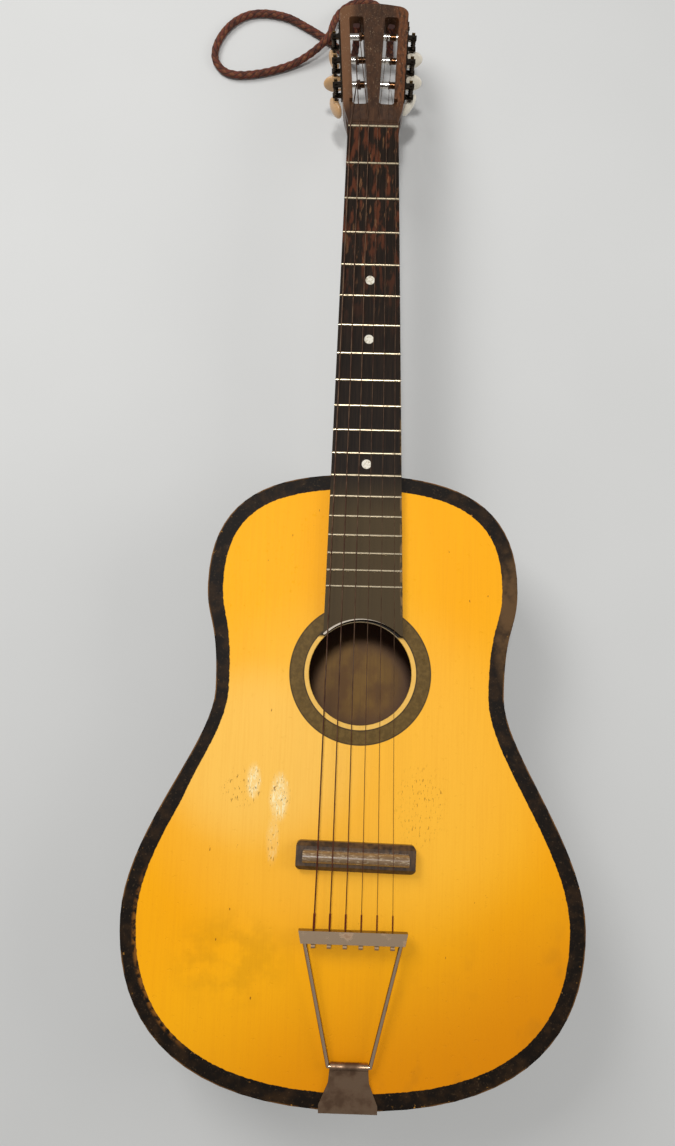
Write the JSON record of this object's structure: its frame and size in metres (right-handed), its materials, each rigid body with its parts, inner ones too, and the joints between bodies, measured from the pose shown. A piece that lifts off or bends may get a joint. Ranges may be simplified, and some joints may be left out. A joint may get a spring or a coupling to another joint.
{
  "type": "broken acoustic guitar",
  "caption": "Worn folk guitar with a flat-backed hollow body, slotted head with open worm machines, floating bridge, trapeze tailpiece and a braided hanging cord.",
  "frame": {"origin": "centre of the bounding box of the guitar without its cord, at the level of the flat back", "axes": "+Y along the strings to the head, +X to the treble side, +Z out of the soundboard"},
  "size_m": [0.373, 1.0438, 0.1127],
  "materials": {
    "soundboard": "worn yellow-orange varnish with a black painted border",
    "body_wood": "brown varnish, scuffed",
    "painted_sides": "brown-black paint, chipped",
    "inner_wood": "bare",
    "neck_wood": "worn brown varnish",
    "fingerboard": "dark, worn through to red-brown",
    "fret_metal": "tarnished",
    "dots": "dull",
    "bridge_wood": "dark stain, dusty",
    "bridge_crest": "worn shiny",
    "tailpiece": "dull nickel plate with rust freckles",
    "screws": "dull",
    "machine_steel": "blackened and dirty",
    "gears": "tarnished",
    "rollers": "worn bright",
    "buttons": "aged cream",
    "string_steel": "rusted",
    "cord": "braided, red-brown and ochre"
  },
  "bodies": {
    "guitar": {"soundboard": "soundboard", "back_plate": "body_wood", "side_bass": "painted_sides", "side_treble": "painted_sides", "neck_block": "inner_wood", "tail_block": "inner_wood", "linings": "inner_wood", "top_braces": "inner_wood", "back_braces": "inner_wood", "neck": "neck_wood", "fingerboard": "fingerboard", "frets": "fret_metal", "string_guide": "neck_wood", "position_dots": "dots", "bridge_base": "bridge_wood", "bridge_saddle": "bridge_crest", "tailpiece_base": "tailpiece", "tailpiece_wire": "tailpiece", "tailpiece_bar": "tailpiece", "tailpiece_screws": "screws", "tuner_plate_bass": "machine_steel", "tuner_plate_treble": "machine_steel", "tuner_plate_screws": "screws", "string_1": "string_steel", "string_2": "string_steel", "string_3": "string_steel", "string_4": "string_steel", "string_5": "string_steel", "string_6": "string_steel", "worm_shaft_6": "machine_steel", "button_6": "buttons", "gear_6": "gears", "gear_screw_6": "screws", "roller_6": "rollers", "hanging_cord": "cord"},
    "worm_1": {"worm_shaft_1": "machine_steel", "button_1": "buttons"},
    "roller_1": {"roller_1": "rollers", "gear_1": "gears", "gear_screw_1": "screws"},
    "worm_2": {"worm_shaft_2": "machine_steel", "button_2": "buttons"},
    "roller_2": {"roller_2": "rollers", "gear_2": "gears", "gear_screw_2": "screws"},
    "worm_3": {"worm_shaft_3": "machine_steel", "button_3": "buttons"},
    "roller_3": {"roller_3": "rollers", "gear_3": "gears", "gear_screw_3": "screws"},
    "worm_4": {"worm_shaft_4": "machine_steel", "button_4": "buttons"},
    "roller_4": {"roller_4": "rollers", "gear_4": "gears", "gear_screw_4": "screws"},
    "worm_5": {"worm_shaft_5": "machine_steel", "button_5": "buttons"},
    "roller_5": {"roller_5": "rollers", "gear_5": "gears", "gear_screw_5": "screws"}
  },
  "joints": [
    {"name": "worm_turn_1", "type": "hinge", "parent": "guitar", "child": "worm_1", "pos_m": [-0.03832, 0.38807, 0.07498], "axis": [-0.0023, 0.2613, 0.9652], "continuous": true},
    {"name": "roller_turn_1", "type": "hinge", "parent": "guitar", "child": "roller_1", "pos_m": [-0.03871, 0.39482, 0.07315], "axis": [-0.9985, -0.0542, 0.0123], "continuous": true},
    {"name": "worm_turn_2", "type": "hinge", "parent": "guitar", "child": "worm_2", "pos_m": [-0.04016, 0.42006, 0.06631], "axis": [-0.0023, 0.2613, 0.9652], "continuous": true},
    {"name": "roller_turn_2", "type": "hinge", "parent": "guitar", "child": "roller_2", "pos_m": [-0.04055, 0.42681, 0.06449], "axis": [-0.9985, -0.0542, 0.0123], "continuous": true},
    {"name": "worm_turn_3", "type": "hinge", "parent": "guitar", "child": "worm_3", "pos_m": [-0.04201, 0.45206, 0.05765], "axis": [-0.0023, 0.2613, 0.9652], "continuous": true},
    {"name": "roller_turn_3", "type": "hinge", "parent": "guitar", "child": "roller_3", "pos_m": [-0.0424, 0.45881, 0.05582], "axis": [-0.9985, -0.0542, 0.0123], "continuous": true},
    {"name": "worm_turn_4", "type": "hinge", "parent": "guitar", "child": "worm_4", "pos_m": [0.03435, 0.45273, 0.05765], "axis": [-0.0023, 0.2613, 0.9652], "continuous": true},
    {"name": "roller_turn_4", "type": "hinge", "parent": "guitar", "child": "roller_4", "pos_m": [0.03462, 0.45948, 0.05582], "axis": [0.9992, -0.0368, 0.0123], "continuous": true},
    {"name": "worm_turn_5", "type": "hinge", "parent": "guitar", "child": "worm_5", "pos_m": [0.03306, 0.4207, 0.06631], "axis": [-0.0023, 0.2613, 0.9652], "continuous": true},
    {"name": "roller_turn_5", "type": "hinge", "parent": "guitar", "child": "roller_5", "pos_m": [0.03333, 0.42746, 0.06449], "axis": [0.9992, -0.0368, 0.0123], "continuous": true}
  ],
  "couplings": [
    {"joint": "roller_turn_1", "follows": "worm_turn_1", "ratio": 0.071429},
    {"joint": "roller_turn_2", "follows": "worm_turn_2", "ratio": 0.071429},
    {"joint": "roller_turn_3", "follows": "worm_turn_3", "ratio": 0.071429},
    {"joint": "roller_turn_4", "follows": "worm_turn_4", "ratio": 0.071429},
    {"joint": "roller_turn_5", "follows": "worm_turn_5", "ratio": 0.071429}
  ]
}
